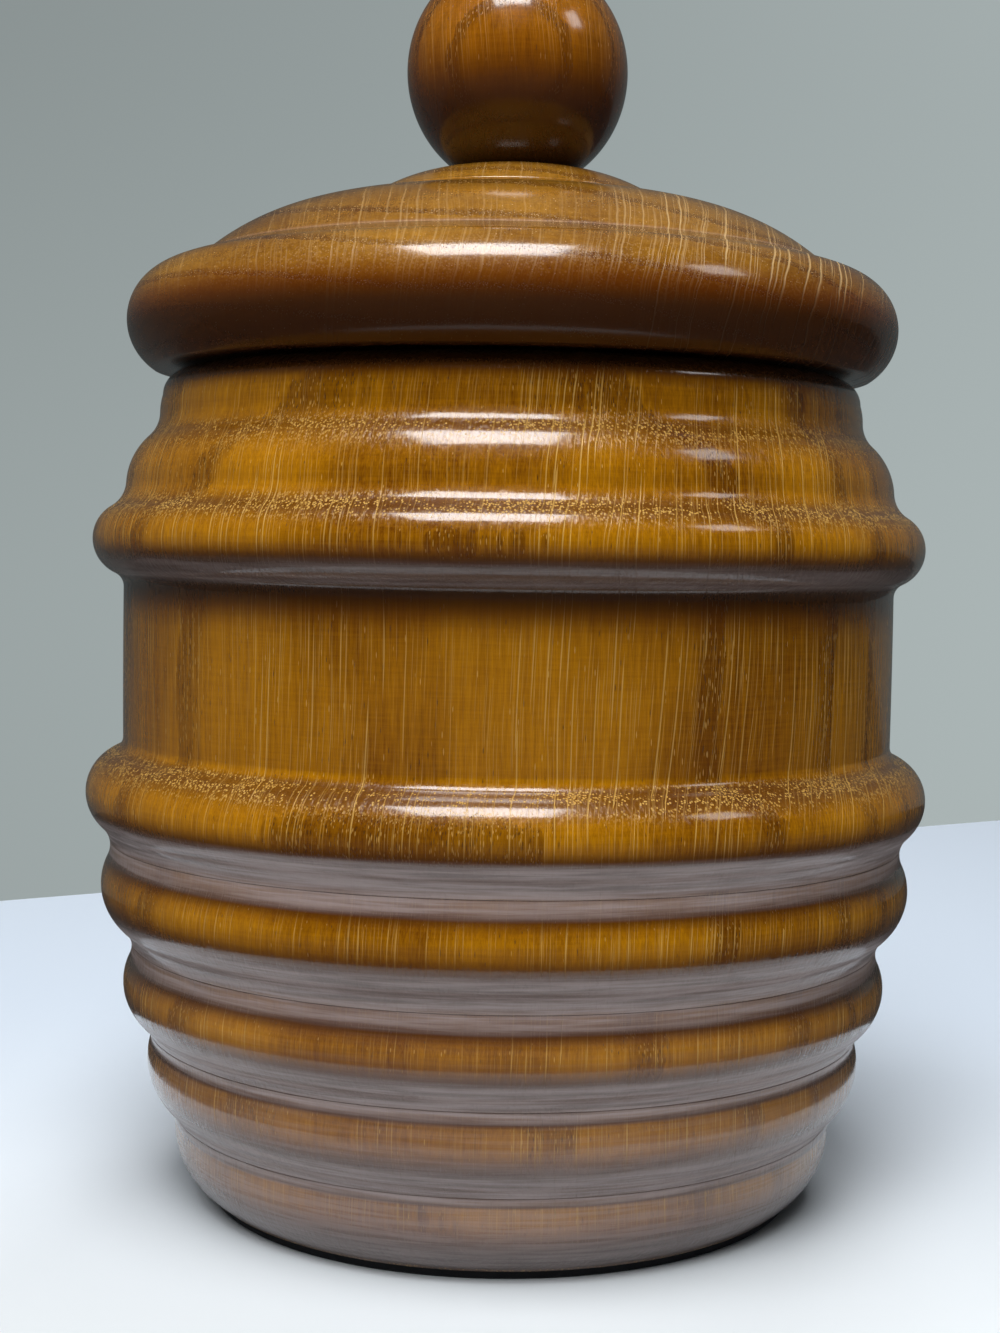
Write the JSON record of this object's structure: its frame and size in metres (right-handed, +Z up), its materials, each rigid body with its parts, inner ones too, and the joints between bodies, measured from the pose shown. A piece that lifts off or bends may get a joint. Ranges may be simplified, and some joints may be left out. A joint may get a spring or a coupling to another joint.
{
  "type": "tobacco jar",
  "caption": "Turned oak tobacco jar with beaded sides, a plain band, a lift-off domed lid with a ball knob and a loose glazed liner.",
  "frame": {"origin": "centre of the base, on the surface the jar stands on", "axes": "+Z up along the jar's axis, -Y towards the viewer in the picture, +X to the viewer's right"},
  "size_m": [0.1298, 0.1298, 0.1913],
  "materials": {
    "body_oak": "gloss",
    "black_baize": "matte",
    "cream_glaze": "gloss",
    "lid_oak": "gloss",
    "cork": "matte",
    "knob_oak": "gloss",
    "steel": "satin",
    "pan_brass": "satin",
    "red_clay": "matte",
    "screw_brass": "satin"
  },
  "bodies": {
    "jar": {"barrel_body": "body_oak", "base_baize": "black_baize"},
    "liner": {"liner_pot": "cream_glaze"},
    "lid": {"lid": "lid_oak", "cork_seal": "cork", "knob": "knob_oak", "knob_screw": "steel", "humidifier_pan": "pan_brass", "humidifier_pad": "red_clay", "pan_screw_1": "screw_brass", "pan_screw_2": "screw_brass", "pan_screw_3": "screw_brass"},
    "cover": {"humidifier_cover": "pan_brass"}
  },
  "joints": [
    {"name": "liner_lift", "type": "slide", "parent": "jar", "child": "liner", "axis": [0, 0, 1], "range_m": [0, 0.12]},
    {"name": "lid_lift", "type": "slide", "parent": "liner", "child": "lid", "axis": [0, 0, 1], "range_m": [0, 0.06]},
    {"name": "cover_pull", "type": "slide", "parent": "lid", "child": "cover", "axis": [0, 0, -1], "range_m": [0, 0.012]}
  ]
}
